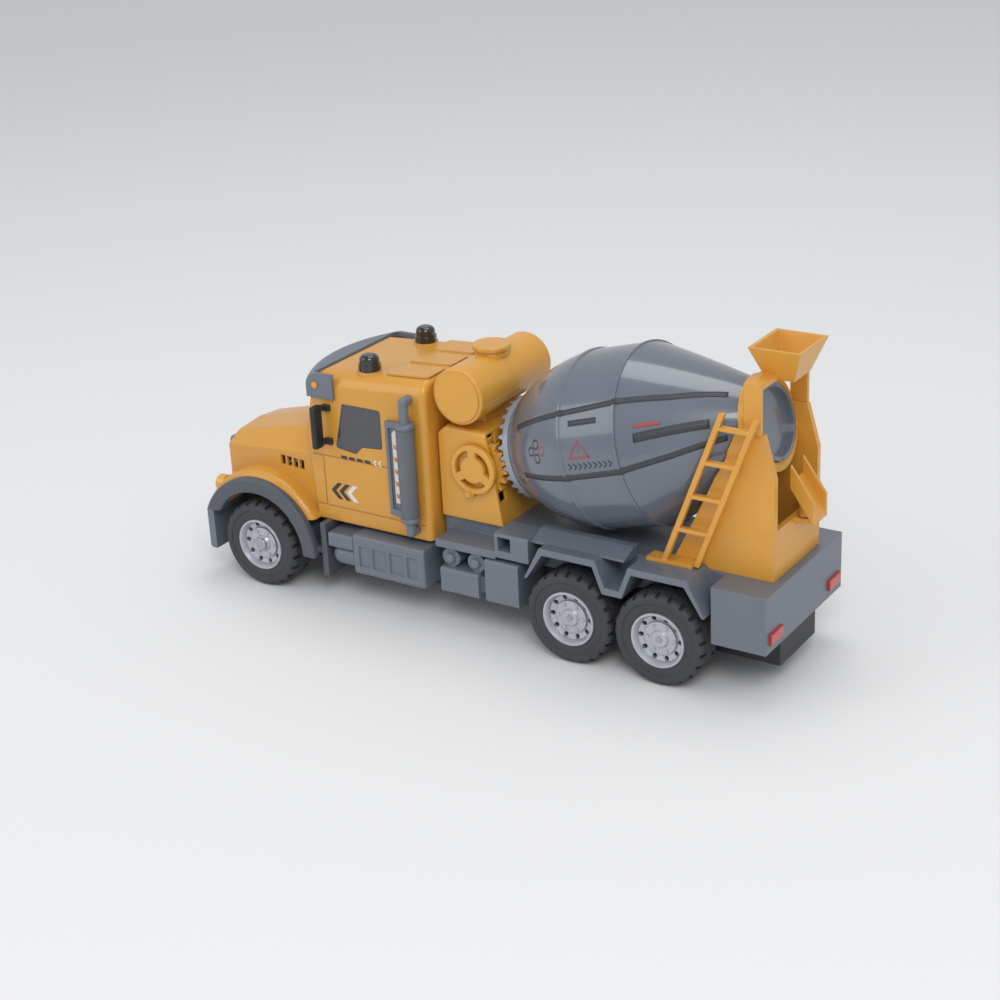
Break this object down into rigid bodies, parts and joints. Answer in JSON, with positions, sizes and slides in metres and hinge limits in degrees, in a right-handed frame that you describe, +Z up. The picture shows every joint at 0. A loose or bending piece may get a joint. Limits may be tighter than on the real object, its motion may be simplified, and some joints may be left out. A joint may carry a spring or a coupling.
{
  "type": "toy cement mixer truck",
  "caption": "Remote-control toy cement mixer truck with a bonneted cab, geared turning drum, side ladder, hopper, swinging chute and rack steering.",
  "frame": {"origin": "on the ground under the middle of the truck's box", "axes": "+X towards the bonnet, +Y to the driver's left, +Z up"},
  "size_m": [0.317, 0.087, 0.1526],
  "materials": {
    "yellow_plastic": "moulded, satin gloss",
    "grey_plastic": "moulded, satin",
    "dark_grey_plastic": "moulded, matt",
    "drum_grey": "moulded, glossy",
    "black_plastic": "moulded",
    "beacon_black": "glossy tinted",
    "tyre_rubber": "soft moulded PVC",
    "wheel_silver": "silver paint on plastic",
    "steel_small": "zinc plated",
    "gear_white": "natural acetal",
    "battery_wrap": "printed sleeve",
    "circuit_green": "solder mask",
    "window_dark": "dark glossy",
    "lamp_amber": "tinted clear",
    "lamp_clear": "moulded lens",
    "lamp_red": "tinted clear"
  },
  "bodies": {
    "chassis": {"air_tanks": "grey_plastic", "batteries": "battery_wrap", "battery_contacts": "steel_small", "battery_cover": "black_plastic", "cab_body": "yellow_plastic", "cab_windows": "window_dark", "chassis_tray": "black_plastic", "door_mirrors": "black_plastic", "drive_housing": "yellow_plastic", "drive_motor": "steel_small", "exhaust_stacks": "grey_plastic", "fender_flare_left": "dark_grey_plastic", "fender_flare_right": "dark_grey_plastic", "front_bumper": "grey_plastic", "grille": "grey_plastic", "headlights": "lamp_clear", "hopper": "yellow_plastic", "ladder": "yellow_plastic", "marker_lamps": "lamp_amber", "power_switch_body": "black_plastic", "rear_pedestal": "yellow_plastic", "receiver_board": "circuit_green", "roof_beacons": "beacon_black", "screws": "steel_small", "side_boxes": "grey_plastic", "steering_motor": "steel_small", "step_tanks": "grey_plastic", "sun_visor": "grey_plastic", "tail_lamps": "lamp_red", "tank_hatch": "yellow_plastic", "upper_chassis": "grey_plastic", "water_tank": "yellow_plastic"},
    "front_wheel_left": {"front_left_tyre": "tyre_rubber", "front_left_rim": "wheel_silver"},
    "front_wheel_right": {"front_right_tyre": "tyre_rubber", "front_right_rim": "wheel_silver"},
    "knuckle_left": {"steering_knuckle_left": "black_plastic", "wheel_screw_left": "steel_small"},
    "knuckle_right": {"steering_knuckle_right": "black_plastic", "wheel_screw_right": "steel_small"},
    "steer_rack": {"steering_rack": "gear_white"},
    "steer_pinion": {"steering_pinion": "gear_white"},
    "middle_axle_set": {"middle_axle": "steel_small", "middle_rims": "wheel_silver", "middle_tyres": "tyre_rubber", "axle_gear": "gear_white"},
    "rear_axle_set": {"rear_axle": "steel_small", "rear_rims": "wheel_silver", "rear_tyres": "tyre_rubber"},
    "compound": {"compound_gear": "gear_white"},
    "motor_shaft": {"motor_pinion": "gear_white"},
    "drum": {"drum_front_cone": "drum_grey", "drum_belt": "drum_grey", "drum_rear_cone": "drum_grey", "crown_gear": "drum_grey"},
    "crank": {"crank_shaft": "yellow_plastic", "hand_wheel": "yellow_plastic"},
    "switch_knob": {"power_switch_knob": "black_plastic"},
    "discharge_chute": {"chute": "yellow_plastic"}
  },
  "joints": [
    {"name": "steer_left", "type": "hinge", "parent": "chassis", "child": "knuckle_left", "pos_m": [0.122, 0.023, 0.022], "axis": [0, 0, 1], "range_deg": [-16, 16]},
    {"name": "steer_right", "type": "hinge", "parent": "chassis", "child": "knuckle_right", "pos_m": [0.122, -0.023, 0.022], "axis": [0, 0, 1], "range_deg": [-16, 16]},
    {"name": "rack_slide", "type": "slide", "parent": "chassis", "child": "steer_rack", "axis": [0, 1, 0], "range_m": [-0.00335, 0.00335]},
    {"name": "steer_pinion_spin", "type": "hinge", "parent": "chassis", "child": "steer_pinion", "pos_m": [0.10336, 0, 0.03], "axis": [0, 0, 1], "range_deg": [-48, 48]},
    {"name": "front_left_spin", "type": "hinge", "parent": "knuckle_left", "child": "front_wheel_left", "pos_m": [0.122, 0.0345, 0.022], "axis": [0, 1, 0], "continuous": true},
    {"name": "front_right_spin", "type": "hinge", "parent": "knuckle_right", "child": "front_wheel_right", "pos_m": [0.122, -0.0345, 0.022], "axis": [0, 1, 0], "continuous": true},
    {"name": "middle_axle_spin", "type": "hinge", "parent": "chassis", "child": "middle_axle_set", "pos_m": [-0.056, 0, 0.022], "axis": [0, 1, 0], "continuous": true},
    {"name": "compound_spin", "type": "hinge", "parent": "chassis", "child": "compound", "pos_m": [-0.04604, 0, 0.03036], "axis": [0, 1, 0], "continuous": true},
    {"name": "motor_spin", "type": "hinge", "parent": "chassis", "child": "motor_shaft", "pos_m": [-0.03195, 0, 0.02523], "axis": [0, 1, 0], "continuous": true},
    {"name": "rear_axle_spin", "type": "hinge", "parent": "chassis", "child": "rear_axle_set", "pos_m": [-0.1015, 0, 0.022], "axis": [0, 1, 0], "continuous": true},
    {"name": "drum_spin", "type": "hinge", "parent": "chassis", "child": "drum", "pos_m": [0.001, 0, 0.079], "axis": [-0.9659, 0, 0.2588], "continuous": true},
    {"name": "crank_spin", "type": "hinge", "parent": "chassis", "child": "crank", "pos_m": [0.001, 0, 0.079], "axis": [0, 1, 0], "continuous": true},
    {"name": "switch_slide", "type": "slide", "parent": "chassis", "child": "switch_knob", "axis": [1, 0, 0], "range_m": [0, 0.003]},
    {"name": "chute_swing", "type": "hinge", "parent": "chassis", "child": "discharge_chute", "pos_m": [-0.1515, 0, 0.075], "axis": [0, 0, 1], "range_deg": [-30, 30]}
  ],
  "couplings": [
    {"joint": "steer_right", "follows": "steer_left", "ratio": 1},
    {"joint": "rack_slide", "follows": "steer_left", "m_per_rad": -0.011845},
    {"joint": "steer_pinion_spin", "follows": "steer_left", "ratio": -2.9612},
    {"joint": "compound_spin", "follows": "middle_axle_spin", "ratio": -1.6},
    {"joint": "motor_spin", "follows": "middle_axle_spin", "ratio": 3.2},
    {"joint": "crank_spin", "follows": "drum_spin", "ratio": -1.5}
  ]
}
